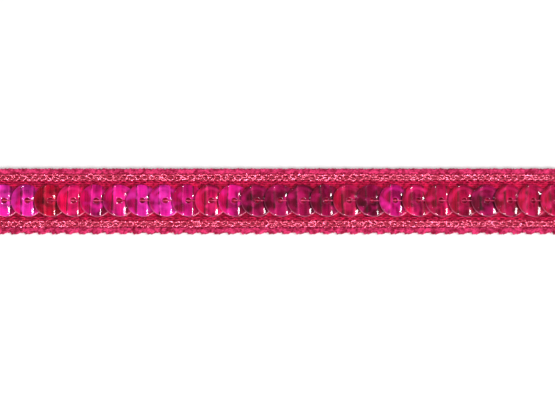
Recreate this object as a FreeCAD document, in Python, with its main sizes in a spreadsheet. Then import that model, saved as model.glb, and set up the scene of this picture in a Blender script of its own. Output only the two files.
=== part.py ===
"""A length of sequin braid: round film sequins lapped like shingles on one string, which small
tie stitches hold down on a knitted ground between two raised borders.

Millimetres. +X runs along the braid, +Y across it and +Z up from the back. The origin is on the
back face, under the middle of the braid. The left wing of each sequin lies over the right wing
of the sequin before it. "near" is the -Y border and "far" the +Y one.
"""
import FreeCAD, Part
import math
import os
import Sketcher

SIZES = {
    # Sequins: discs punched from film, each with an eye and two soft creases across it.
    "sequin_count": 26,
    "sequin_diameter": 6.0,
    "sequin_eye": 1.1,
    "eye_to_edge": 1.25,
    # The eyes are small and many, so each is cut with flats instead of one round edge.
    "eye_flats": 12,
    "film_thickness": 0.1,
    "crease_offset": 1.0,
    "crease_wander": 0.1,
    "crease_radius": 1.5,
    # String: one tight thread. Each sequin slopes across it, so it comes up through the eye.
    "string_diameter": 0.25,
    "eye_gap": 0.025,
    # Ties: stitches of the ground that cross over the string ahead of each eye.
    "tie_thickness": 0.12,
    "tie_length": 0.16,
    "tie_spread": 0.3,
    "tie_gap": 0.03,
    # Knitted ground, and the stitch that the outer rows of the borders share.
    "ground_thickness": 0.5,
    "lay_gap": 0.05,
    "stitch_length": 2.5,
    # Rows of a border, from the sequins out.
    "channel_gap": 0.1,
    "inner_width": 0.6,
    "inner_height": 0.6,
    "row_gap": 0.06,
    "metal_width": 1.2,
    "metal_height": 0.75,
    "metal_pinch": 0.15,
    "edge_width": 1.03,
    "edge_height": 1.15,
    "edge_scallop": 0.3,
}

# The row of sequins: from each eye it is eye_to_edge back to the rim of the sequin before.
PITCH = "(Sizes.sequin_diameter / 2 + Sizes.eye_to_edge)"

# How far the left wing is above the right one. The string is level and the film slopes across
# it, just steeply enough at the widest crease for the string to clear the rim of the eye.
SLOPE = "((Sizes.string_diameter + Sizes.film_thickness + 2 * Sizes.eye_gap) / Sizes.sequin_eye)"
WIDEST_CREASE = "(Sizes.crease_offset + Sizes.crease_wander)"
LIFT = f"(2 * {WIDEST_CREASE} * {SLOPE})"

# Heights of the middle of the film: where it lies on the ground, where it laps over the string
# and the sequin before, and at the eye, half way between them, where the string is too.
WING_LOW = "(Sizes.ground_thickness + Sizes.lay_gap + Sizes.film_thickness / 2)"
WING_HIGH = f"({WING_LOW} + {LIFT})"
EYE_HEIGHT = f"({WING_LOW} + {LIFT} / 2)"

# A tie stands between the rim of one sequin and the slope of the next, which it passes under.
TIE_OFFSET = "(Sizes.eye_to_edge - Sizes.tie_gap - Sizes.tie_length / 2)"
TIE_UNDER = f"({EYE_HEIGHT} + Sizes.string_diameter / 2 + Sizes.tie_gap)"
TIE_OVER = (f"({EYE_HEIGHT} + ({TIE_OFFSET} - Sizes.tie_length / 2) * {SLOPE}"
            " - Sizes.film_thickness / 2 - Sizes.tie_gap)")

# Places across the braid, from the middle out.
INNER_START = "(Sizes.sequin_diameter / 2 + Sizes.channel_gap)"
METAL_START = f"({INNER_START} + Sizes.inner_width + Sizes.row_gap)"
GROUND_HALF = f"({METAL_START} + Sizes.metal_width)"
EDGE_START = f"({GROUND_HALF} + Sizes.row_gap)"

# The braid is cut at whole stitches, so that it just holds the row of sequins.
SEQUIN_ROW = f"((Sizes.sequin_count - 1) * {PITCH} + Sizes.sequin_diameter)"
STITCH_COUNT = f"ceil({SEQUIN_ROW} / Sizes.stitch_length)"
BRAID_LENGTH = f"({STITCH_COUNT} * Sizes.stitch_length)"

# A turn in degrees that never comes round to the same place, for uneven creases.
GOLDEN_TURN = 137.5

V = FreeCAD.Vector
doc = FreeCAD.newDocument("sequin_braid")
sheet = doc.addObject("Spreadsheet::Sheet", "Sizes")


def fill_sheet():
    for row, (name, value) in enumerate(SIZES.items(), start=1):
        sheet.set(f"A{row}", name)
        sheet.set(f"B{row}", str(value))
        sheet.setAlias(f"B{row}", name)
    doc.recompute()


def value_of(expression):
    """The number that an expression on the sheet comes to."""
    return float(sheet.evalExpression(expression))


def new_body(label):
    body = doc.addObject("PartDesign::Body", label)
    body.Label = label
    return body


def plane_of(body, role):
    return next(item for item in body.Origin.OriginFeatures if item.Role == role)


def new_sketch(body, name, role):
    sketch = body.newObject("Sketcher::SketchObject", name)
    sketch.AttachmentSupport = [(plane_of(body, role), "")]
    sketch.MapMode = "FlatFace"
    return sketch


def bind(sketch, kind, places, expression):
    """Add a constraint whose value follows an expression on the sheet."""
    number = sketch.addConstraint(Sketcher.Constraint(kind, *places, value_of(expression)))
    sketch.setExpression(f"Constraints[{number}]", expression)


def pin(sketch, geometry, corner, across=None, up=None):
    """Tie a corner's distance from the sketch's origin to expressions."""
    if across is not None:
        bind(sketch, "DistanceX", (-1, 1, geometry, corner), across)
    if up is not None:
        bind(sketch, "DistanceY", (-1, 1, geometry, corner), up)


def join(sketch, kind, pairs):
    for pair in pairs:
        sketch.addConstraint(Sketcher.Constraint(kind, *pair))


def add_outline(sketch, corners, bulges=None):
    """A closed outline, anticlockwise, whose corners are pairs of expressions.

    A side in bulges is an arc instead of a line: its number leads to its chord and its depth.
    """
    bulges = bulges or {}
    points = [V(value_of(across), value_of(up), 0) for across, up in corners]
    count = len(points)
    for side, first in enumerate(points):
        last = points[(side + 1) % count]
        if side not in bulges:
            sketch.addGeometry(Part.LineSegment(first, last))
            continue
        outward = (last - first).cross(V(0, 0, 1)).normalize()
        crest = (first + last) / 2 + outward * value_of(bulges[side][1])
        sketch.addGeometry(Part.Arc(first, crest, last))
    for side, (across, up) in enumerate(corners):
        join(sketch, "Coincident", [(side, 2, (side + 1) % count, 1)])
        pin(sketch, side, 1, across, up)
    for side, (chord, depth) in bulges.items():
        bind(sketch, "Radius", (side,), f"(({chord} / 2) ^ 2 + {depth} ^ 2) / (2 * {depth})")


def arc_of(centre, radius, start, end):
    circle = Part.Circle(V(*centre, 0), V(0, 0, 1), radius)
    return Part.ArcOfCircle(circle, start, end)


def add_pad(body, sketch, length, midplane=False):
    pad = body.newObject("PartDesign::Pad", "pad")
    pad.Profile = sketch
    pad.Midplane = midplane
    pad.setExpression("Length", length)
    return pad


def add_row(body, feature, count, pitch):
    """Repeat a feature along X."""
    row = body.newObject("PartDesign::LinearPattern", "row")
    row.Originals = [feature]
    row.Direction = (plane_of(body, "YZ_Plane"), [""])
    row.setExpression("Occurrences", count)
    row.setExpression("Length", f"({count} - 1) * {pitch}")
    body.Tip = row


def film_section(body, corner):
    """The creased film seen from the side: high left wing, sloping middle, low right wing.

    Lines and arcs 0 to 4 are the underside from left to right, 6 to 10 the upper side back
    again. Each crease's two arcs share a centre, so the film keeps its thickness. The strip
    reaches a sequin's diameter each way, well past the disc that is punched from it.
    """
    film = value_of("Sizes.film_thickness")
    radius = value_of("Sizes.crease_radius")
    low, high = value_of(WING_LOW) - film / 2, value_of(WING_HIGH) - film / 2
    blank = "Sizes.sequin_diameter"
    bend = (f"({corner} + (Sizes.crease_radius + Sizes.film_thickness / 2)"
            f" * tan(atan({LIFT} / (2 * {corner})) / 2))")
    reach, centre = value_of(blank), value_of(bend)
    slope = math.atan(value_of(LIFT) / 2 / value_of(corner))
    top, foot = math.pi / 2, 3 * math.pi / 2
    left, right = (-centre, high - radius), (centre, low + film + radius)
    sketch = new_sketch(body, "film_section", "XZ_Plane")
    arcs = {
        1: arc_of(left, radius, top - slope, top),
        3: arc_of(right, radius + film, foot - slope, foot),
        7: arc_of(right, radius, foot - slope, foot),
        9: arc_of(left, radius + film, top - slope, top),
    }
    lines = {
        0: (V(-reach, high, 0), arcs[1].EndPoint),
        2: (arcs[1].StartPoint, arcs[3].StartPoint),
        4: (arcs[3].EndPoint, V(reach, low, 0)),
        5: (V(reach, low, 0), V(reach, low + film, 0)),
        6: (V(reach, low + film, 0), arcs[7].EndPoint),
        8: (arcs[7].StartPoint, arcs[9].StartPoint),
        10: (arcs[9].EndPoint, V(-reach, high + film, 0)),
        11: (V(-reach, high + film, 0), V(-reach, high, 0)),
    }
    for number in range(12):
        sketch.addGeometry(arcs[number] if number in arcs else Part.LineSegment(*lines[number]))
    join(sketch, "Tangent", [(0, 2, 1, 2), (1, 1, 2, 1), (2, 2, 3, 1), (3, 2, 4, 1)])
    join(sketch, "Tangent", [(6, 2, 7, 2), (7, 1, 8, 1), (8, 2, 9, 1), (9, 2, 10, 1)])
    join(sketch, "Coincident", [(4, 2, 5, 1), (5, 2, 6, 1), (10, 2, 11, 1), (11, 2, 0, 1)])
    join(sketch, "Coincident", [(1, 3, 9, 3), (3, 3, 7, 3)])
    join(sketch, "Horizontal", [(0,), (4,), (6,), (10,)])
    join(sketch, "Vertical", [(5,), (11,)])
    bind(sketch, "Radius", (1,), "Sizes.crease_radius")
    bind(sketch, "Radius", (7,), "Sizes.crease_radius")
    pin(sketch, 1, 3, across=f"-{bend}")
    pin(sketch, 3, 3, across=bend)
    pin(sketch, 11, 2, f"-{blank}", f"{WING_HIGH} - Sizes.film_thickness / 2")
    pin(sketch, 11, 1, up=f"{WING_HIGH} + Sizes.film_thickness / 2")
    pin(sketch, 5, 1, blank, f"{WING_LOW} - Sizes.film_thickness / 2")
    pin(sketch, 5, 2, up=f"{WING_LOW} + Sizes.film_thickness / 2")
    return sketch


def add_circle(sketch, diameter, guide=False):
    """A circle about the sketch's origin, or only a guide for other lines."""
    circle = Part.Circle(V(0, 0, 0), V(0, 0, 1), value_of(diameter) / 2)
    number = sketch.addGeometry(circle, guide)
    sketch.addConstraint(Sketcher.Constraint("Coincident", number, 3, -1, 1))
    bind(sketch, "Diameter", (number,), diameter)
    return number


def add_flats(sketch, diameter, flats):
    """A circle about the sketch's origin drawn as even flats, with its corners on the circle."""
    rim = add_circle(sketch, diameter, guide=True)
    radius, turn = value_of(diameter) / 2, 2 * math.pi / flats
    points = [V(radius * math.cos(k * turn), radius * math.sin(k * turn), 0) for k in range(flats)]
    sides = [sketch.addGeometry(Part.LineSegment(points[k - 1], points[k])) for k in range(flats)]
    for side, after in zip(sides, sides[1:] + sides[:1]):
        join(sketch, "Coincident", [(side, 2, after, 1)])
        join(sketch, "PointOnObject", [(side, 2, rim)])
    join(sketch, "Equal", [(sides[0], side) for side in sides[1:]])
    join(sketch, "PointOnObject", [(sides[0], 2, -1)])


def punch(body, name, sketch):
    cut = body.newObject("PartDesign::Pocket", name)
    cut.Profile = sketch
    cut.Type = "ThroughAll"
    cut.Midplane = True
    body.Tip = cut


def make_sequin(number):
    """One sequin: creased film, punched to a disc, with an eye square to its sloping middle."""
    body = new_body(f"sequin_{number + 1:02d}")
    corner = f"(Sizes.crease_offset + Sizes.crease_wander * sin({number * GOLDEN_TURN:.1f} deg))"
    add_pad(body, film_section(body, corner), "2 * Sizes.sequin_diameter", midplane=True)
    rim = new_sketch(body, "rim", "XY_Plane")
    add_circle(rim, "4 * Sizes.sequin_diameter")
    add_circle(rim, "Sizes.sequin_diameter")
    punch(body, "disc", rim)
    eye = new_sketch(body, "eye", "XY_Plane")
    eye.AttachmentOffset = FreeCAD.Placement(V(0, 0, 0), FreeCAD.Rotation(V(0, 1, 0), 1))
    eye.setExpression("AttachmentOffset.Rotation.Angle", f"atan({LIFT} / (2 * {corner}))")
    eye.setExpression("AttachmentOffset.Base.z", EYE_HEIGHT)
    add_flats(eye, "Sizes.sequin_eye", int(value_of("Sizes.eye_flats")))
    punch(body, "eye_hole", eye)
    body.setExpression("Placement.Base.x", eye_place(number))
    return body


def eye_place(number):
    """Where a sequin's eye is along the braid."""
    return f"({number} - (Sizes.sequin_count - 1) / 2) * {PITCH}"


def make_string():
    """The sequin string, pulled straight through the eyes and cut flush with the braid."""
    string = doc.addObject("Part::Cylinder", "sequin_string")
    string.Placement.Rotation = FreeCAD.Rotation(V(0, 1, 0), 90)
    string.setExpression("Radius", "Sizes.string_diameter / 2")
    string.setExpression("Height", BRAID_LENGTH)
    string.setExpression("Placement.Base.x", f"-{BRAID_LENGTH} / 2")
    string.setExpression("Placement.Base.z", EYE_HEIGHT)
    return string


def make_ties():
    """The tie stitches: low arches that stand on the ground, astride the string."""
    body = new_body("string_ties")
    body.AllowCompound = True
    inner = "(Sizes.string_diameter / 2 + Sizes.tie_gap)"
    foot = f"({inner} + Sizes.tie_spread)"
    sole = "Sizes.tie_thickness"
    floor = "Sizes.ground_thickness"
    arch = new_sketch(body, "arch", "YZ_Plane")
    add_outline(arch, [
        (f"-{foot} - {sole}", floor),
        (f"-{foot}", floor),
        (f"-{inner}", TIE_UNDER),
        (inner, TIE_UNDER),
        (foot, floor),
        (f"{foot} + {sole}", floor),
        (f"{inner} + {sole} / 2", TIE_OVER),
        (f"-{inner} - {sole} / 2", TIE_OVER),
    ])
    tie = add_pad(body, arch, "Sizes.tie_length", midplane=True)
    add_row(body, tie, "Sizes.sequin_count", PITCH)
    body.setExpression("Placement.Base.x", f"{eye_place(0)} - {TIE_OFFSET}")
    return body


def make_band(label, start, width, height, seat="0"):
    """A plain band along the whole braid, from start across it and seat above the back face."""
    band = doc.addObject("Part::Box", label)
    band.setExpression("Length", BRAID_LENGTH)
    band.setExpression("Width", width)
    band.setExpression("Height", height)
    band.setExpression("Placement.Base.x", f"-{BRAID_LENGTH} / 2")
    band.setExpression("Placement.Base.y", start)
    band.setExpression("Placement.Base.z", seat)
    return band


def make_ground():
    """The knitted ground, under everything but the edge loops."""
    return make_band("ground_band", f"-{GROUND_HALF}", f"2 * {GROUND_HALF}",
                     "Sizes.ground_thickness")


def make_inner_chain(side):
    """The narrow chain beside the sequins, whose stitches are too small to part here."""
    start = INNER_START
    if side == "near":
        start = f"-{INNER_START} - Sizes.inner_width"
    return make_band(f"inner_chain_{side}", start, "Sizes.inner_width", "Sizes.inner_height",
                     "Sizes.ground_thickness")


# The stitched rows of a border. The metal chain stands on the ground, and the edge loops hang
# over its side and reach the back face.
BORDER_ROWS = {
    "metal_chain": {
        "start": METAL_START, "width": "Sizes.metal_width", "height": "Sizes.metal_height",
        "length": "Sizes.stitch_length", "seat": "Sizes.ground_thickness",
        "inner_pinch": "Sizes.metal_pinch", "outer_pinch": "Sizes.metal_pinch",
    },
    "edge_loops": {
        "start": EDGE_START, "width": "Sizes.edge_width", "height": "Sizes.edge_height",
        "length": "Sizes.stitch_length", "seat": "0",
        "outer_pinch": "Sizes.edge_scallop",
    },
}


def make_border_row(name, side, row):
    """One row of a border: a pad of one stitch, repeated along the braid.

    The stitch's long sides bulge by inner_pinch towards the sequins and by outer_pinch away
    from them. It is drawn on the far side, and half a turn about Z takes it to the near one.
    """
    start, width, length = row["start"], row["width"], row["length"]
    body = new_body(f"{name}_{side}")
    bulges = {}
    near, far = start, f"({start} + {width})"
    if "inner_pinch" in row:
        near = f"({start} + {row['inner_pinch']})"
        bulges[0] = (length, row["inner_pinch"])
    if "outer_pinch" in row:
        far = f"({start} + {width} - {row['outer_pinch']})"
        bulges[2] = (length, row["outer_pinch"])
    half = f"{length} / 2"
    stitch = new_sketch(body, "stitch", "XY_Plane")
    add_outline(stitch, [(f"-{half}", near), (half, near), (half, far), (f"-{half}", far)], bulges)
    pad = add_pad(body, stitch, row["height"])
    add_row(body, pad, f"({BRAID_LENGTH} / {length})", length)
    first = f"({length} - {BRAID_LENGTH}) / 2"
    if side == "near":
        body.Placement.Rotation = FreeCAD.Rotation(V(0, 0, 1), 180)
        first = f"({BRAID_LENGTH} - {length}) / 2"
    body.setExpression("Placement.Base.x", first)
    body.setExpression("Placement.Base.z", row["seat"])
    return body


def check_document():
    """Stop if any object failed to recompute, which recompute itself doesn't report."""
    for item in doc.Objects:
        if "Invalid" in item.State or "Error" in item.State:
            raise RuntimeError(f"{item.Label} failed: {item.State}")


def write_nodes(nodes):
    for node in nodes:
        if node.Shape.isNull() or not node.Shape.isValid() or not node.Shape.Solids:
            raise RuntimeError(f"{node.Label} has no valid solid")
    os.makedirs("parts", exist_ok=True)
    for node in nodes:
        node.Shape.exportStep(f"parts/{node.Label}.step")
        box = node.Shape.BoundBox
        print(f"{node.Label}: {len(node.Shape.Solids)} solid(s), {node.Shape.Volume:.2f} mm3,"
              f" z {box.ZMin:.2f} to {box.ZMax:.2f}")


fill_sheet()
nodes = [make_sequin(number) for number in range(int(value_of("Sizes.sequin_count")))]
nodes += [make_string(), make_ties(), make_ground()]
for side in ("near", "far"):
    nodes.append(make_inner_chain(side))
    nodes += [make_border_row(name, side, row) for name, row in BORDER_ROWS.items()]
doc.recompute()
check_document()
write_nodes(nodes)
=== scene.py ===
import math
import random

import bmesh
import bpy
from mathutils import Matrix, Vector


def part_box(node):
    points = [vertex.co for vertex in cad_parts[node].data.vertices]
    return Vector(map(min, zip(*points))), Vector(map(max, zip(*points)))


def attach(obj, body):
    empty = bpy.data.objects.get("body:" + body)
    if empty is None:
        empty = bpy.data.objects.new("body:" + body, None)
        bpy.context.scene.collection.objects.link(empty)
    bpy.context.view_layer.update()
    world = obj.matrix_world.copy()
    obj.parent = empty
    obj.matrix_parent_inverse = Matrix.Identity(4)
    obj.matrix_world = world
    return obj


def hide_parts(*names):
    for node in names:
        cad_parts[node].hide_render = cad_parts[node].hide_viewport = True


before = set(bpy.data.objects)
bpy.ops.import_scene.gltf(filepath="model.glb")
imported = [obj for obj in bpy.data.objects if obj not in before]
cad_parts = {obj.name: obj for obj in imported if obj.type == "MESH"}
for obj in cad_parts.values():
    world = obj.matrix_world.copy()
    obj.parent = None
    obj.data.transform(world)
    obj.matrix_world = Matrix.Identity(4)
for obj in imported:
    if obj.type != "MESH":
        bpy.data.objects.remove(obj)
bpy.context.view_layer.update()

# Ground: laid filler
# Soft polyester yarns that run the whole length of the braid, side by side, and give it its body.
# They are caught between the stitches of the ground and show only in its gaps.
MM = 0.001
STITCH = 2.5 * MM
ground_low, ground_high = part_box("ground_band")
BRAID_START, BRAID_END = ground_low.x, ground_high.x
STITCHES = round((BRAID_END - BRAID_START) / STITCH)
GROUND_WIDE = ground_high.y - ground_low.y
FILLER_RADIUS = 0.19 * MM
FILLER_YARNS = 27
FILLER_HEIGHT = 0.27 * MM
FILLER_SWAY = 0.03 * MM
STRAIGHT_SPACING = 0.6 * MM

# Plies are spun a little too thick for their places, so that they press together.
PLY_SQUEEZE = 1.12
# Places of the two colours and of the result on a Mix node that mixes colours.
COLOUR_A, COLOUR_B, COLOUR_RESULT = 6, 7, 2


def smooth_route(route, spacing):
    """Places and directions at even steps along a smooth line that is drawn by the route."""
    places, directions = [], []
    ends = [Vector(place) for place in route]
    ends = [2 * ends[0] - ends[1], *ends, 2 * ends[-1] - ends[-2]]
    for before, here, after in zip(ends, ends[1:], ends[2:]):
        start, finish = (before + here) / 2, (here + after) / 2
        steps = max(1, round((finish - start).length / spacing))
        for step in range(steps):
            t = step / steps
            places.append((1 - t) ** 2 / 2 * before + (0.5 + t - t * t) * here + t * t / 2 * after)
            directions.append(((1 - t) * (here - before) + t * (after - here)).normalized())
    return places, directions


def twist_plies(route, plies, offset, lay, spacing):
    """The lines of a yarn's plies, which go round the route once in a lay, and its length."""
    places, directions = smooth_route(route, spacing)
    side = directions[0].orthogonal().normalized()
    lines = [[] for _ in range(plies)]
    length = 0
    for number, (place, direction) in enumerate(zip(places, directions)):
        if number:
            length += (place - places[number - 1]).length
        side = (side - direction * side.dot(direction)).normalized()
        other = direction.cross(side)
        for ply, line in enumerate(lines):
            turn = 2 * math.pi * (ply / plies + length / lay)
            line.append(place + offset * (math.cos(turn) * side + math.sin(turn) * other))
    return lines, length


def draw_plies(name, routes, slim, offset, materials, plies, lay, spacing):
    """A mesh of tubes along the plies of some yarns, and the length of the last yarn."""
    line = bpy.data.curves.new(name + "_line", "CURVE")
    line.dimensions = "3D"
    line.bevel_depth = slim * (PLY_SQUEEZE if plies > 1 else 1)
    line.bevel_resolution = 1
    line.use_fill_caps = True
    length = 0
    for route in routes:
        lines, length = twist_plies(route, plies, offset, lay, spacing)
        for number, places in enumerate(lines):
            spline = line.splines.new("POLY")
            spline.points.add(len(places) - 1)
            spline.material_index = number % len(materials)
            for point, place in zip(spline.points, places):
                point.co = (*place, 1)
    line = bpy.data.objects.new(name + "_line", line)
    bpy.context.scene.collection.objects.link(line)
    ready = line.evaluated_get(bpy.context.evaluated_depsgraph_get())
    mesh = bpy.data.meshes.new_from_object(ready)
    bpy.data.objects.remove(line)
    return mesh, length


def spin_yarns(name, routes, radius, materials, plies=1, lay=0.9 * MM, spacing=0.16 * MM):
    """Yarns along the routes, as one piece. Their UV is in millimetres.

    The plies take the materials in turn, and go round each other once in a lay.
    """
    slim = radius / (1 + 1 / math.sin(math.pi / plies)) if plies > 1 else radius
    mesh, length = draw_plies(name, routes, slim, radius - slim, materials, plies, lay, spacing)
    shape = bmesh.new()
    shape.from_mesh(mesh)
    bmesh.ops.remove_doubles(shape, verts=shape.verts, dist=slim * 0.02)
    bmesh.ops.recalc_face_normals(shape, faces=shape.faces)
    unwrap = shape.loops.layers.uv.active
    for face in shape.faces:
        face.smooth = True
        for corner in face.loops:
            corner[unwrap].uv.x *= 2 * math.pi * slim / MM
            corner[unwrap].uv.y *= length / MM
    shape.to_mesh(mesh)
    shape.free()
    mesh.name = name
    mesh.materials.clear()
    for material in materials:
        mesh.materials.append(material)
    piece = bpy.data.objects.new(name, mesh)
    bpy.context.scene.collection.objects.link(piece)
    return piece


def linear(red, green, blue):
    """A colour as it is seen, in 0 to 255, as the shader wants it."""
    def channel(value):
        value /= 255
        return value / 12.92 if value <= 0.04045 else ((value + 0.055) / 1.055) ** 2.4
    return (channel(red), channel(green), channel(blue), 1)


def add_node(tree, kind, values=None, **settings):
    """A shader node with its settings, and with values for inputs by their names or places."""
    node = tree.nodes.new("ShaderNode" + kind)
    for setting, value in settings.items():
        setattr(node, setting, value)
    for socket, value in (values or {}).items():
        node.inputs[socket].default_value = value
    return node


def new_finish(name, values):
    """A new material, its node tree and its shader, with what is the same all over its surface."""
    material = bpy.data.materials.new(name)
    material.use_nodes = True
    tree = material.node_tree
    shader = tree.nodes["Principled BSDF"]
    for socket, value in values.items():
        shader.inputs[socket].default_value = value
    return material, tree, shader


def twisted_fibre_group():
    """Fibres of a twisted yarn: a mask that streaks along them in patches, and their height."""
    group = bpy.data.node_groups.new("twisted_fibres", "ShaderNodeTree")
    group.interface.new_socket("Fineness", in_out="INPUT", socket_type="NodeSocketFloat")
    group.interface.new_socket("Mask", in_out="OUTPUT", socket_type="NodeSocketFloat")
    group.interface.new_socket("Height", in_out="OUTPUT", socket_type="NodeSocketFloat")
    links = group.links
    given = group.nodes.new("NodeGroupInput")
    result = group.nodes.new("NodeGroupOutput")
    unwrap = add_node(group, "UVMap", uv_map="UVMap")
    slant = add_node(group, "Mapping", {"Rotation": (0, 0, math.radians(35)),
                                        "Scale": (1, 0.16, 1)})
    streak = add_node(group, "TexNoise", {"Detail": 3, "Roughness": 0.6})
    place = add_node(group, "TexCoord")
    patch = add_node(group, "TexNoise", {"Scale": 1400, "Detail": 2})
    blend = add_node(group, "Math", {1: 0.8}, operation="MULTIPLY_ADD")
    spread = add_node(group, "MapRange", {"From Min": 0.8, "From Max": 1.02})
    links.new(unwrap.outputs["UV"], slant.inputs["Vector"])
    links.new(slant.outputs["Vector"], streak.inputs["Vector"])
    links.new(given.outputs["Fineness"], streak.inputs["Scale"])
    links.new(place.outputs["Object"], patch.inputs["Vector"])
    links.new(patch.outputs["Fac"], blend.inputs[0])
    links.new(streak.outputs["Fac"], blend.inputs[2])
    links.new(blend.outputs["Value"], spread.inputs["Value"])
    links.new(spread.outputs["Result"], result.inputs["Mask"])
    links.new(streak.outputs["Fac"], result.inputs["Height"])
    return group


TWISTED_FIBRES = twisted_fibre_group()


def dyed_yarn(name, shade, light, roughness=0.6, sheen=0.3, fineness=9):
    """Dyed multifilament yarn: painted shade for its grooves and painted highlights on its fibres,
    in streaks along them.
    """
    material, tree, finish = new_finish(name, {
        "Roughness": roughness,
        "Specular IOR Level": 0.15,
        "Sheen Weight": sheen,
        "Sheen Roughness": 0.4,
        "Sheen Tint": light,
    })
    fibres = add_node(tree, "Group", {"Fineness": fineness}, node_tree=TWISTED_FIBRES)
    # The yarn's colour runs from the painted shade to the painted highlight along the fibre mask.
    painted_shading = add_node(tree, "Mix", {COLOUR_A: shade, COLOUR_B: light}, data_type="RGBA")
    relief = add_node(tree, "Bump", {"Strength": 0.5, "Distance": 0.03 * MM})
    tree.links.new(fibres.outputs["Mask"], painted_shading.inputs["Factor"])
    tree.links.new(painted_shading.outputs[COLOUR_RESULT], finish.inputs["Base Color"])
    tree.links.new(fibres.outputs["Height"], relief.inputs["Height"])
    tree.links.new(relief.outputs["Normal"], finish.inputs["Normal"])
    return material


GROUND_YARN = dyed_yarn("ground_yarn", linear(124, 0, 36), linear(214, 14, 74))


def lay_fillers():
    routes = []
    across = GROUND_WIDE - 2 * FILLER_RADIUS
    for yarn in range(FILLER_YARNS):
        y = ground_low.y + FILLER_RADIUS + across * yarn / (FILLER_YARNS - 1)
        sway = random.Random(yarn)
        route = []
        for k in range(2 * STITCHES + 1):
            z = FILLER_HEIGHT + sway.uniform(-FILLER_SWAY, FILLER_SWAY)
            route.append((BRAID_START + STITCH * k / 2, y, z))
        routes.append(route)
    return spin_yarns("laid_filler", routes, FILLER_RADIUS, [GROUND_YARN],
                      spacing=STRAIGHT_SPACING)


filler = lay_fillers()
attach(filler, "root")
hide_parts("ground_band")

# Ground: weft
# One yarn that goes to and fro across the braid below the fillers, four courses to a stitch.
# It is what shows on the back between the columns of stitches.
WEFT_RADIUS = 0.17 * MM
WEFT_HEIGHT = 0.19 * MM
WEFT_SWAY = 0.03 * MM
WEFT_COURSES = 4
COLUMNS = 9
# How far the ends of a course are pulled along the braid, in courses.
WEFT_BOW = 0.3


def lay_weft():
    route = []
    reach = ground_high.y - WEFT_RADIUS
    step = STITCH / WEFT_COURSES
    points = 2 * COLUMNS
    for course in range(STITCHES * WEFT_COURSES):
        x = BRAID_START + step * (course + 0.5)
        side = 1 if course % 2 else -1
        for k in range(points + 1):
            share = 2 * k / points - 1
            bow = WEFT_BOW * step * share * share
            sway = WEFT_SWAY * math.cos(math.pi * k)
            route.append((x + bow, side * share * reach, WEFT_HEIGHT + sway))
    return spin_yarns("weft", [route], WEFT_RADIUS, [GROUND_YARN], spacing=0.3 * MM)


weft = lay_weft()
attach(weft, "root")
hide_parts("ground_band")

# Ground: columns of stitches
# Chain stitches that run along the braid and hold the weft and the fillers together. They are
# the cords that show on the back.
COLUMN_RADIUS = 0.13 * MM
COLUMN_HALF = 0.27 * MM
COLUMN_UNEVENNESS = 0.12
CHAIN_STITCH = STITCH / 2
# One stitch of a chain, in stitches along it, halves across it and shares of its height.
CHAIN_SHAPE = (
    (0.0, -0.25, 0.2), (0.12, -0.85, 0.6), (0.35, -1.15, 1), (0.75, -1.15, 1),
    (1.02, -0.75, 0.85), (1.1, 0, 0.75), (1.02, 0.75, 0.85), (0.75, 1.15, 1),
    (0.35, 1.15, 1), (0.12, 0.85, 0.6), (0.0, 0.25, 0.2), (0.35, 0.1, 0), (0.7, -0.1, 0),
)
# A loop starts this share of a stitch early, and leans by up to this share of its unevenness.
CHAIN_START = 0.1
CHAIN_LEAN = 0.3


def within_braid(x):
    """A place along the braid, kept between its cut ends."""
    return min(max(x, BRAID_START), BRAID_END)


def chain_route(middle, half, low, high, unevenness, seed):
    """A chain of stitches along the braid: each loop comes up through the one before it."""
    wander = random.Random(seed)
    route = []
    for stitch in range(round((BRAID_END - BRAID_START) / CHAIN_STITCH)):
        start = BRAID_START + CHAIN_STITCH * (stitch - CHAIN_START)
        lean = wander.uniform(-1, 1) * unevenness
        swell = 1 + wander.uniform(-1, 1) * unevenness
        for along, across, up in CHAIN_SHAPE:
            x = within_braid(start + CHAIN_STITCH * (along + lean * across * CHAIN_LEAN))
            route.append((x, middle + half * across * swell, low + (high - low) * up))
    return route


def knit_columns():
    routes = []
    reach = ground_high.y - COLUMN_HALF - COLUMN_RADIUS
    for column in range(COLUMNS):
        middle = reach * (2 * column / (COLUMNS - 1) - 1)
        routes.append(chain_route(middle, COLUMN_HALF, COLUMN_RADIUS,
                                  ground_high.z - COLUMN_RADIUS, COLUMN_UNEVENNESS, column))
    return spin_yarns("columns", routes, COLUMN_RADIUS, [GROUND_YARN], spacing=0.2 * MM)


columns = knit_columns()
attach(columns, "root")
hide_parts("ground_band")

# Borders: inner chains
# A narrow chain of two-ply fuchsia yarn along each side of the sequins. It keeps step with the
# metal chain, and fills the corner between that and the sequins.
INNER_RADIUS = 0.13 * MM
BORDER_UNEVENNESS = 0.2
INNER_YARN = dyed_yarn("inner_yarn", linear(140, 0, 42), linear(230, 32, 90),
                       roughness=0.5, sheen=0.2)
# The two borders, each with a seed for its unevenness.
BORDER_SEEDS = {"near": 4, "far": 3}


def border_route(low, high, radius, seat, seed):
    """A chain in the space between two corners, from a seat above its foot up to its top."""
    middle = (low.y + high.y) / 2
    half = (high.y - low.y) / 2 - radius
    return chain_route(middle, half, low.z + seat, high.z - radius, BORDER_UNEVENNESS, seed)


for side, seed in BORDER_SEEDS.items():
    low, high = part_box(f"inner_chain_{side}")
    route = border_route(low, high, INNER_RADIUS, 0, seed)
    chain = spin_yarns(f"inner_loops_{side}", [route], INNER_RADIUS, [INNER_YARN], plies=2,
                       lay=0.7 * MM)
    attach(chain, "root")
    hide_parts(f"inner_chain_{side}")

# Borders: metal chains
# A thick chain on each side, of fuchsia yarn wound with a strip of pink metallised film, which
# glitters where a turn of the strip faces the light. Its stitches are small round rings.
METAL_RADIUS = 0.2 * MM
METAL_SEAT = METAL_RADIUS * 0.5
# Places of the two vectors and of the result on a Mix node that mixes vectors.
VECTOR_A, VECTOR_B, VECTOR_RESULT = 4, 5, 1


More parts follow.
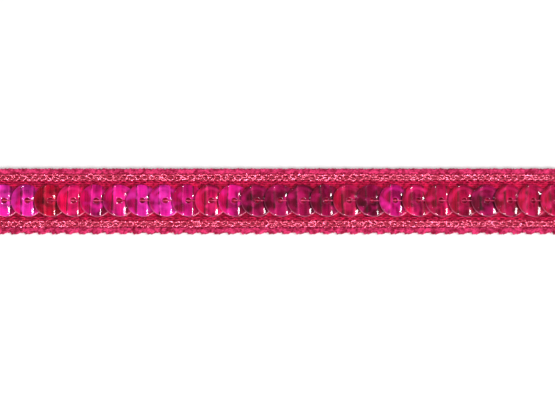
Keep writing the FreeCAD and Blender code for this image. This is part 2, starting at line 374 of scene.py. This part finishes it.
def foil_yarn(name, yarn, foil):
    """Yarn wound with metallised strip: foil over about a third of it, crinkled into facets.

    A facet faces nearly straight up or down, whichever way its ply does there, with some of the
    ply's own slope and a tilt of its own. Elsewhere the yarn keeps its true slope.
    """
    material, tree, finish = new_finish(name, {"Specular IOR Level": 0.15})
    links = tree.links
    unwrap = add_node(tree, "UVMap", uv_map="UVMap")
    slant = add_node(tree, "Mapping", {"Rotation": (0, 0, math.radians(40))})
    strip = add_node(tree, "TexWave", {"Scale": 0.75, "Distortion": 0.6}, wave_profile="SAW")
    edge = add_node(tree, "MapRange", {"From Min": 0.6, "From Max": 0.66})
    colour = add_node(tree, "Mix", {COLOUR_A: yarn, COLOUR_B: foil}, data_type="RGBA")
    metal = add_node(tree, "Math", {1: 0.7}, operation="MULTIPLY")
    polish = add_node(tree, "MapRange", {"To Min": 0.6, "To Max": 0.12})
    place = add_node(tree, "TexCoord")
    crinkle = add_node(tree, "TexVoronoi", {"Scale": 2300})
    level = add_node(tree, "VectorMath", {1: (0.5, 0.5, 0.5)}, operation="SUBTRACT")
    surface = add_node(tree, "NewGeometry")
    soft = add_node(tree, "VectorMath", {1: (0.35, 0.35, 0.35)}, operation="MULTIPLY")
    facing = add_node(tree, "VectorMath", operation="SIGN")
    flat = add_node(tree, "VectorMath", {1: (0, 0, 0.65)}, operation="MULTIPLY_ADD")
    tilt = add_node(tree, "VectorMath", {1: (0.7, 0.7, 0.7)}, operation="MULTIPLY_ADD")
    facet = add_node(tree, "VectorMath", operation="NORMALIZE")
    relief = add_node(tree, "Mix", data_type="VECTOR")
    links.new(unwrap.outputs["UV"], slant.inputs["Vector"])
    links.new(slant.outputs["Vector"], strip.inputs["Vector"])
    links.new(strip.outputs["Fac"], edge.inputs["Value"])
    links.new(edge.outputs["Result"], colour.inputs["Factor"])
    links.new(colour.outputs[COLOUR_RESULT], finish.inputs["Base Color"])
    links.new(edge.outputs["Result"], metal.inputs[0])
    links.new(metal.outputs["Value"], finish.inputs["Metallic"])
    links.new(edge.outputs["Result"], polish.inputs["Value"])
    links.new(polish.outputs["Result"], finish.inputs["Roughness"])
    links.new(place.outputs["Object"], crinkle.inputs["Vector"])
    links.new(crinkle.outputs["Color"], level.inputs[0])
    links.new(level.outputs["Vector"], tilt.inputs[0])
    links.new(surface.outputs["Normal"], soft.inputs[0])
    links.new(surface.outputs["Normal"], facing.inputs[0])
    links.new(facing.outputs["Vector"], flat.inputs[0])
    links.new(soft.outputs["Vector"], flat.inputs[2])
    links.new(flat.outputs["Vector"], tilt.inputs[2])
    links.new(tilt.outputs["Vector"], facet.inputs[0])
    links.new(edge.outputs["Result"], relief.inputs["Factor"])
    links.new(surface.outputs["Normal"], relief.inputs[VECTOR_A])
    links.new(facet.outputs["Vector"], relief.inputs[VECTOR_B])
    links.new(relief.outputs[VECTOR_RESULT], finish.inputs["Normal"])
    return material


METAL_YARN = foil_yarn("metal_yarn", linear(182, 0, 52), linear(255, 122, 160))
CARRIER_YARN = dyed_yarn("carrier_yarn", linear(150, 0, 40), linear(234, 14, 80),
                         roughness=0.5, sheen=0.15)

for side, seed in BORDER_SEEDS.items():
    low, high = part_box(f"metal_chain_{side}")
    route = border_route(low, high, METAL_RADIUS, METAL_SEAT, seed + 10)
    chain = spin_yarns(f"metal_loops_{side}", [route], METAL_RADIUS,
                       [METAL_YARN, CARRIER_YARN, METAL_YARN], plies=3, lay=1.1 * MM)
    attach(chain, "root")
    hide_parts(f"metal_chain_{side}")

# Borders: edge loops
# Soft thick yarn that goes over and over a core along the edge, slanting as it goes, four turns
# to a stitch. The turns stand out once in each stitch, which scallops the near edge most.
WRAP_RADIUS = 0.34 * MM
WRAPS = 4
WRAP_POINTS = 12
WRAP_SLANT = 1.7
WRAP_TIGHTEST = 0.9
# How far the turns reach in over the ground, and out past the plain edge.
WRAP_TUCK = 0.2 * MM
WRAP_PROUD = 0.16 * MM
SCALLOP = {"near": 0.22 * MM, "far": 0.05 * MM}
CORE_RADIUS = 0.3 * MM
EDGE_YARN = dyed_yarn("edge_yarn", linear(134, 4, 42), linear(230, 60, 118),
                      roughness=0.75, sheen=0.35, fineness=8)


def wrap_route(centre, reach, out, scallop, seed):
    """The turns of one edge's yarn round its centre. Out is 1 on the far side, -1 on the near."""
    wander = random.Random(seed)
    pitch = STITCH / WRAPS
    route = []
    for k in range(STITCHES * WRAPS * WRAP_POINTS):
        turn = 2 * math.pi * k / WRAP_POINTS
        x = BRAID_START + pitch * k / WRAP_POINTS
        y, z = reach.y * math.cos(turn), reach.z * math.sin(turn)
        bulge = scallop * math.cos(2 * math.pi * (x - BRAID_START) / STITCH)
        y += out * bulge * max(y * out, 0) / reach.y
        if k % WRAP_POINTS == 0:
            slack = wander.uniform(WRAP_TIGHTEST, 1)
        y, z = y * slack, z * slack
        route.append((within_braid(x + WRAP_SLANT * y), centre.y + y, centre.z + z))
    return route


for side, seed in BORDER_SEEDS.items():
    low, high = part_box(f"edge_loops_{side}")
    out = 1 if side == "far" else -1
    centre = Vector((0, (low.y + high.y + out * (WRAP_PROUD - WRAP_TUCK)) / 2,
                     (low.z + high.z) / 2))
    reach = Vector((0, (high.y - low.y + WRAP_PROUD + WRAP_TUCK) / 2 - WRAP_RADIUS,
                    (high.z - low.z) / 2 - WRAP_RADIUS))
    route = wrap_route(centre, reach, out, SCALLOP[side], seed)
    wraps = spin_yarns(f"edge_wraps_{side}", [route], WRAP_RADIUS, [EDGE_YARN], plies=4,
                       lay=2.6 * MM, spacing=0.13 * MM)
    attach(wraps, "root")
    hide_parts(f"edge_loops_{side}")
    route = [(BRAID_START + STITCH * k / 2, centre.y, centre.z) for k in range(2 * STITCHES + 1)]
    core = spin_yarns(f"edge_core_{side}", [route], CORE_RADIUS, [GROUND_YARN],
                      spacing=STRAIGHT_SPACING)
    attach(core, "root")
    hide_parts(f"edge_loops_{side}")

# String and ties
# One tight crimson thread that goes up through the eye of each sequin, and the stitches of the
# ground that cross over it ahead of each eye and hold it down.
string_low, string_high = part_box("sequin_string")
STRING_RADIUS = (string_high.z - string_low.z) / 2
STRING_HEIGHT = (string_high.z + string_low.z) / 2
STRING_POINTS = 4 * STITCHES
THREAD = dyed_yarn("string_thread", linear(150, 14, 50), linear(228, 82, 130),
                   roughness=0.45, sheen=0.2, fineness=14)

route = [
    (BRAID_START + (BRAID_END - BRAID_START) * k / STRING_POINTS, 0, STRING_HEIGHT)
    for k in range(STRING_POINTS + 1)
]
string = spin_yarns("string", [route], STRING_RADIUS, [THREAD], plies=3, lay=0.8 * MM,
                    spacing=0.1 * MM)
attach(string, "root")
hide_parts("sequin_string")

first_low, first_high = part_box("sequin_01")
last_low, last_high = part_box("sequin_26")
ties_low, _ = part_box("string_ties")
SEQUINS = 26
FIRST_EYE = (first_low.x + first_high.x) / 2
SEQUIN_PITCH = ((last_low.x + last_high.x) / 2 - FIRST_EYE) / (SEQUINS - 1)
TIE_RADIUS = 0.07 * MM
# Half a tie's length along the braid, and the middle of a tie as seen from its sequin's eye.
TIE_HALF = 0.08 * MM
TIE_PLACE = (ties_low.x + TIE_HALF) - FIRST_EYE
# The arch of a tie over the string, in millimetres across the braid and up from its back.
TIE_ARCH = (
    (-0.5, 0.4), (-0.42, 0.75), (-0.22, 1.15), (0, 1.24), (0.22, 1.15), (0.42, 0.75), (0.5, 0.4),
)

tie_routes = []
for number in range(SEQUINS):
    x = FIRST_EYE + SEQUIN_PITCH * number + TIE_PLACE
    tie_routes.append([(x, across * MM, up * MM) for across, up in TIE_ARCH])
ties = spin_yarns("ties", tie_routes, TIE_RADIUS, [GROUND_YARN])
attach(ties, "root")
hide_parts("string_ties")

# Sequins
# Discs punched from clear dyed film with a mirror-like gloss. Each has a round eye with a lip
# where the punch went through, a cut edge that bends down a little, and two soft creases.
FILM = 0.1 * MM
SEQUIN_RADIUS = (first_high.x - first_low.x) / 2
EYE_RADIUS = 0.5 * MM
CUT_EDGE = 0.04 * MM
RIM_WIDTH, RIM_DROP = 0.25 * MM, 0.05 * MM
LIP_WIDTH, LIP_RISE = 0.12 * MM, 0.04 * MM
SPOKE_STEPS = 16
SPOKES = 96

# The creases lie each side of the eye, and their places wander with the number of the disc.
CREASE = 1.0 * MM
CREASE_WANDER = 0.1 * MM
CREASE_SPREAD = 0.38 * MM
CREASE_LINES = (-1, -0.6, -0.2, 0.2, 0.6, 1)
GOLDEN_TURN = 137.5
# Half the height from the right wing, which lies low, up to the left one.
LIFT = (first_high.z - first_low.z - FILM) / 2
# The right half of a disc bows down to the near and far sides, to a radius between these in
# millimetres. The bow comes on round the eye, and the whole disc is raised to make up for it.
CUP_RADII = (14, 24)
CUP_SPREAD = 1.2 * MM
FILM_RAISE = 0.14 * MM
# A disc nods to the far side or the near one by an angle between these in degrees. Its creases
# lean, along the braid for each step across it, by up to this.
NODS = (-1.4, 0.8)
LEAN = 0.06
# How the right crease and the spread of both differ from disc to disc, as shares of the usual.
CREASE_RANGE = (0.75, 1.25)
SPREAD_RANGE = (0.6, 1.3)
SEQUIN_SEED = 40

# Marks for the finish, as values of the disc's points: where it bends, how far it is from the eye,
# and where its painted highlights and painted dark reflection go.
MARKS = ("bend", "edge", "ring", "arc", "dip")
# Places of the painted highlight band and the painted dark reflection, and the colour of the
# painted rim highlight.
ARC_RADIUS = 2.3 * MM
ARC_WIDTH = 0.45 * MM
PAINTED_DARK_PLACE = 0.8 * MM
PAINTED_RIM_HIGHLIGHT = linear(250, 140, 180)


def film_finish(name, wing, slope, painted_flash):
    """Dyed film: one shade on the level wings and one on the slope, which differ as a painted
    reflection of how each faces the light, falling to painted shade in the creases, with patches
    of painted highlight.

    It reads the marks of a disc, in the order MARKS gives them: how far it bends, 1 on the slope
    and 0 on the wings; a painted highlight on the cut rim; the distance from the eye in
    millimetres; a painted highlight band along the far side; and a painted dark reflection in a
    band on the near side.
    """
    material, tree, finish = new_finish(name, {
        "Roughness": 0.3,
        "Metallic": 0.25,
        "Specular IOR Level": 0.1,
        "Coat Weight": 1.0,
        "Coat IOR": 1.5,
        "Coat Roughness": 0.05,
        "Alpha": 0.66,
    })
    links = tree.links
    bend, edge, ring, arc, dip = (add_node(tree, "Attribute", attribute_name=mark)
                                  for mark in MARKS)
    facets = add_node(tree, "ValToRGB")
    ramp = facets.color_ramp
    ramp.elements[0].color = wing
    ramp.elements[1].color = slope
    ramp.elements[1].position = 0.75
    # Painted shade along both creases, where the film turns from the wings to the slope.
    for position in (0.12, 0.4):
        painted_crease_shade = ramp.elements.new(position)
        painted_crease_shade.color = (0.3 * wing[0], 0.3 * wing[1], 0.3 * wing[2], 1)
    place = add_node(tree, "TexCoord")
    cloud = add_node(tree, "TexNoise", {"Scale": 260, "Detail": 1})
    cloudy = add_node(tree, "MapRange", {"From Min": 0.35, "From Max": 0.65,
                                         "To Min": 0.5, "To Max": 1.4})
    stretch = add_node(tree, "Mapping", {"Scale": (2100, 200, 200)})
    grain = add_node(tree, "TexNoise", {"Scale": 1, "Detail": 2})
    grained = add_node(tree, "MapRange", {"From Min": 0.3, "From Max": 0.7,
                                          "To Min": 0.6, "To Max": 1.4})
    uneven = add_node(tree, "Math", operation="MULTIPLY")
    turns = add_node(tree, "Math", {1: 19}, operation="MULTIPLY")
    ripple = add_node(tree, "Math", operation="SINE")
    # A painted dark reflection in a band on the near side, added to the pressed rings; the random
    # tone multiplies both.
    dimmed = add_node(tree, "Math", {1: -0.25, 2: 1.05}, operation="MULTIPLY_ADD")
    pressed = add_node(tree, "Math", {1: 0.1}, operation="MULTIPLY_ADD")
    tone_and_painted_dark = add_node(tree, "Math", operation="MULTIPLY")
    shaded = add_node(tree, "VectorMath", operation="SCALE")
    # Patches of painted highlight, and the painted highlight band along the far side.
    glance = add_node(tree, "TexNoise", {"Scale": 560, "Detail": 1})
    gleam = add_node(tree, "MapRange", {"From Min": 0.48, "From Max": 0.74})
    brightest = add_node(tree, "Math", operation="MAXIMUM")
    lit = add_node(tree, "Mix", {COLOUR_B: painted_flash}, data_type="RGBA")
    # A painted highlight on the cut rim, mostly on its near side, and a faint one on the eye's
    # lip.
    rim = add_node(tree, "Mix", {COLOUR_B: PAINTED_RIM_HIGHLIGHT}, data_type="RGBA")
    links.new(bend.outputs["Fac"], facets.inputs["Fac"])
    links.new(facets.outputs["Color"], shaded.inputs[0])
    links.new(place.outputs["Object"], cloud.inputs["Vector"])
    links.new(cloud.outputs["Fac"], cloudy.inputs["Value"])
    links.new(place.outputs["Object"], stretch.inputs["Vector"])
    links.new(stretch.outputs["Vector"], grain.inputs["Vector"])
    links.new(grain.outputs["Fac"], grained.inputs["Value"])
    links.new(cloudy.outputs["Result"], uneven.inputs[0])
    links.new(grained.outputs["Result"], uneven.inputs[1])
    links.new(ring.outputs["Fac"], turns.inputs[0])
    links.new(turns.outputs["Value"], ripple.inputs[0])
    links.new(ripple.outputs["Value"], pressed.inputs[0])
    links.new(dip.outputs["Fac"], dimmed.inputs[0])
    links.new(dimmed.outputs["Value"], pressed.inputs[2])
    links.new(uneven.outputs["Value"], tone_and_painted_dark.inputs[0])
    links.new(pressed.outputs["Value"], tone_and_painted_dark.inputs[1])
    links.new(tone_and_painted_dark.outputs["Value"], shaded.inputs["Scale"])
    links.new(place.outputs["Object"], glance.inputs["Vector"])
    links.new(glance.outputs["Fac"], gleam.inputs["Value"])
    links.new(gleam.outputs["Result"], brightest.inputs[0])
    links.new(arc.outputs["Fac"], brightest.inputs[1])
    links.new(brightest.outputs["Value"], lit.inputs["Factor"])
    links.new(shaded.outputs["Vector"], lit.inputs[COLOUR_A])
    links.new(lit.outputs[COLOUR_RESULT], rim.inputs[COLOUR_A])
    links.new(edge.outputs["Fac"], rim.inputs["Factor"])
    links.new(rim.outputs[COLOUR_RESULT], finish.inputs["Base Color"])
    return material


# The shades of each film: on the wings and on the slope, which differ as painted reflection, and
# its painted highlight.
FILM_SHADES = {
    "violet": (linear(204, 4, 100), linear(220, 22, 150), linear(255, 50, 190)),
    "magenta": (linear(192, 0, 78), linear(204, 4, 110), linear(250, 30, 160)),
    "red": (linear(150, 0, 30), linear(170, 0, 42), linear(220, 12, 66)),
    "rose": (linear(226, 6, 76), linear(184, 0, 76), linear(255, 40, 130)),
    "plum": (linear(116, 0, 42), linear(138, 0, 58), linear(200, 20, 104)),
    "crimson": (linear(160, 0, 44), linear(172, 6, 62), linear(222, 26, 100)),
}
FILMS = {name: film_finish(f"film_{name}", *shades) for name, shades in FILM_SHADES.items()}
# The films of the discs, from the start of the braid.
FILM_ORDER = (
    "violet violet violet red rose magenta magenta violet violet magenta rose magenta plum"
    " plum plum plum crimson plum magenta rose crimson crimson plum crimson crimson crimson"
).split()


def soft_step(x, left, right, spread):
    """How far down the slope x is, which runs from -left to right, with round creases."""
    def ramp(t):
        if t <= -spread:
            return 0
        if t >= spread:
            return t
        return (t + spread) ** 2 / (4 * spread)
    return ramp(x + left) - ramp(x - right) - (left + right) / 2


def steepness(x, left, right, spread):
    """1 on the slope, 0 on the wings."""
    rise = (x + left + spread) / (2 * spread)
    fall = (x - right + spread) / (2 * spread)
    return min(max(rise, 0), 1) - min(max(fall, 0), 1)


def punch_blank(left, right, lean, spread):
    """A flat disc with its eye, spun from a spoke of film, with lines where it is to bend."""
    shape = bmesh.new()
    spoke = [
        EYE_RADIUS + (SEQUIN_RADIUS - EYE_RADIUS) * k / SPOKE_STEPS for k in range(SPOKE_STEPS)
    ]
    spoke += [SEQUIN_RADIUS - CUT_EDGE, SEQUIN_RADIUS]
    verts = [shape.verts.new((r, 0, 0)) for r in spoke]
    edges = [shape.edges.new(pair) for pair in zip(verts, verts[1:])]
    bmesh.ops.spin(shape, geom=verts + edges, axis=(0, 0, 1), cent=(0, 0, 0), steps=SPOKES,
                   angle=2 * math.pi, use_merge=True)
    bmesh.ops.recalc_face_normals(shape, faces=shape.faces)
    if sum(face.normal.z for face in shape.faces) < 0:
        bmesh.ops.reverse_faces(shape, faces=shape.faces)
    for crease in (-left, right):
        for share in CREASE_LINES:
            bmesh.ops.bisect_plane(shape, geom=shape.verts[:] + shape.edges[:] + shape.faces[:],
                                   plane_co=(crease + share * spread, 0, 0),
                                   plane_no=(1, lean, 0))
    return shape


def press_sequin(number):
    """One disc: a blank pressed over its creases, marked for its finish and made thick."""
    uneven = random.Random(SEQUIN_SEED + number)
    left = CREASE + CREASE_WANDER * math.sin(math.radians(GOLDEN_TURN * number))
    right = CREASE * uneven.uniform(*CREASE_RANGE)
    cup = 1 / uneven.uniform(*CUP_RADII)
    # How strong the painted highlight band along the far side is on this disc.
    painted_flash = uneven.uniform(0, 1)
    nod = math.radians(uneven.uniform(*NODS))
    lean = uneven.uniform(-LEAN, LEAN)
    spread = CREASE_SPREAD * uneven.uniform(*SPREAD_RANGE)
    slope = 2 * LIFT / (left + right)
    shape = punch_blank(left, right, lean, spread)
    bend, edge, ring, arc, dip = (shape.verts.layers.float.new(mark) for mark in MARKS)
    for vert in shape.verts:
        x, y, r = vert.co.x, vert.co.y, vert.co.xy.length
        along = x + lean * y
        rim = max(0, (r - SEQUIN_RADIUS + RIM_WIDTH) / RIM_WIDTH)
        lip = max(0, 1 - (r - EYE_RADIUS) / LIP_WIDTH)
        vert.co.z = -slope * soft_step(along, left, right, spread)
        cupped = min(max(0.5 + x / CUP_SPREAD, 0), 1)
        vert.co.z += FILM_RAISE - y * y * cup * cupped / (2 * MM) + nod * y
        vert.co.z += LIP_RISE * lip * lip - RIM_DROP * rim * rim
        # The band of painted highlight along the far side.
        band = max(0, 1 - abs(r - ARC_RADIUS) / ARC_WIDTH) * max(0, y / r + 0.1)
        vert[bend] = steepness(along, left, right, spread)
        # A painted highlight on the cut rim, strongest on the near side that faces the front box,
        # and a faint one on the eye's lip.
        vert[edge] = max(rim ** 3 * (0.1 + 0.8 * max(-y / r, 0)), lip * 0.15)
        vert[ring] = r / MM
        vert[arc] = painted_flash * min(1, band)
        # A painted dark reflection in a band on the near side.
        vert[dip] = math.exp(-((y + PAINTED_DARK_PLACE) / PAINTED_DARK_PLACE) ** 2)
    bmesh.ops.solidify(shape, geom=shape.faces, thickness=FILM)
    bmesh.ops.translate(shape, verts=shape.verts,
                        vec=(FIRST_EYE + SEQUIN_PITCH * number, 0, STRING_HEIGHT))
    for face in shape.faces:
        face.smooth = True
    name = f"film_disc_{number + 1:02d}"
    mesh = bpy.data.meshes.new(name)
    shape.to_mesh(mesh)
    shape.free()
    piece = bpy.data.objects.new(name, mesh)
    bpy.context.scene.collection.objects.link(piece)
    return piece


for number in range(SEQUINS):
    disc = press_sequin(number)
    disc.data.materials.append(FILMS[FILM_ORDER[number]])
    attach(disc, "root")
    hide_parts(f"sequin_{number + 1:02d}")

# Studio
# A pale table under the braid, a wide soft box in front of it, and two far ones to the right,
# whose images run along the creases and glint on them.
TABLE_SIZE = 3
TABLE_GAP = 0.02 * MM
TABLE_GREY = 0.74
# The light that the table adds where it is seen: straight on, in a gloss or through a piece.
TABLE_GLOW = 0.05
WORLD_LIGHT = 0.12

bpy.ops.mesh.primitive_plane_add(size=TABLE_SIZE, location=(0, 0, -TABLE_GAP))
table = bpy.context.object
table.name = "table"
paper = bpy.data.materials.new("table_paper")
paper.use_nodes = True
tree = paper.node_tree
links = tree.links
tree.nodes.clear()
output = add_node(tree, "OutputMaterial")
diffuse = add_node(tree, "BsdfDiffuse", {"Color": (TABLE_GREY, TABLE_GREY, TABLE_GREY, 1)})
glow = add_node(tree, "Emission")
path = add_node(tree, "LightPath")
seen = add_node(tree, "Math", operation="MAXIMUM")
seen_through = add_node(tree, "Math", operation="MAXIMUM")
strength = add_node(tree, "Math", {1: TABLE_GLOW}, operation="MULTIPLY")
both = add_node(tree, "AddShader")
links.new(path.outputs["Is Camera Ray"], seen.inputs[0])
links.new(path.outputs["Is Glossy Ray"], seen.inputs[1])
links.new(seen.outputs["Value"], seen_through.inputs[0])
links.new(path.outputs["Is Transmission Ray"], seen_through.inputs[1])
links.new(seen_through.outputs["Value"], strength.inputs[0])
links.new(strength.outputs["Value"], glow.inputs["Strength"])
links.new(diffuse.outputs["BSDF"], both.inputs[0])
links.new(glow.outputs["Emission"], both.inputs[1])
links.new(both.outputs["Shader"], output.inputs["Surface"])
table.data.materials.append(paper)


def add_soft_box(name, tilt_right, tilt_front, distance, size, watts):
    """A soft box aimed at the braid, by its tilts from straight overhead in degrees."""
    lamp = bpy.data.lights.new(name, "AREA")
    lamp.shape = "RECTANGLE"
    lamp.size, lamp.size_y = size
    lamp.energy = watts
    box = bpy.data.objects.new(name, lamp)
    bpy.context.scene.collection.objects.link(box)
    box.rotation_euler = (math.radians(tilt_front), math.radians(tilt_right), 0)
    box.location = box.rotation_euler.to_matrix() @ Vector((0, 0, distance))


add_soft_box("front_box", tilt_right=0, tilt_front=34, distance=0.6, size=(0.6, 0.25), watts=3.3)
add_soft_box("crease_box", tilt_right=22, tilt_front=3, distance=3.0, size=(0.95, 0.45), watts=48)
add_soft_box("glint_box", tilt_right=22, tilt_front=-16, distance=3.0, size=(0.85, 0.1), watts=13)

world = bpy.data.worlds.new("studio")
bpy.context.scene.world = world
world.use_nodes = True
sky = world.node_tree.nodes["Background"]
sky.inputs["Color"].default_value = (1, 1, 1, 1)
sky.inputs["Strength"].default_value = WORLD_LIGHT

# Camera
# Nearly overhead and a little in front of the braid, through a long lens. Both cut ends are out
# of view.
ELEVATION = 80
LENS = 120
SEEN_LENGTH = 102.5 * MM
AIM = Vector((1.6 * MM, -1.4 * MM, 1.0 * MM))
camera_data = bpy.data.cameras.new("camera")
camera_data.lens = LENS
camera_data.clip_start = 0.01
camera = bpy.data.objects.new("camera", camera_data)
bpy.context.scene.collection.objects.link(camera)
distance = SEEN_LENGTH * LENS / camera_data.sensor_width
away = Vector((0, -math.cos(math.radians(ELEVATION)), math.sin(math.radians(ELEVATION))))
camera.location = AIM + away * distance
camera.rotation_euler = (math.radians(90 - ELEVATION), 0, 0)
bpy.context.scene.camera = camera
bpy.context.scene.view_settings.view_transform = "Standard"
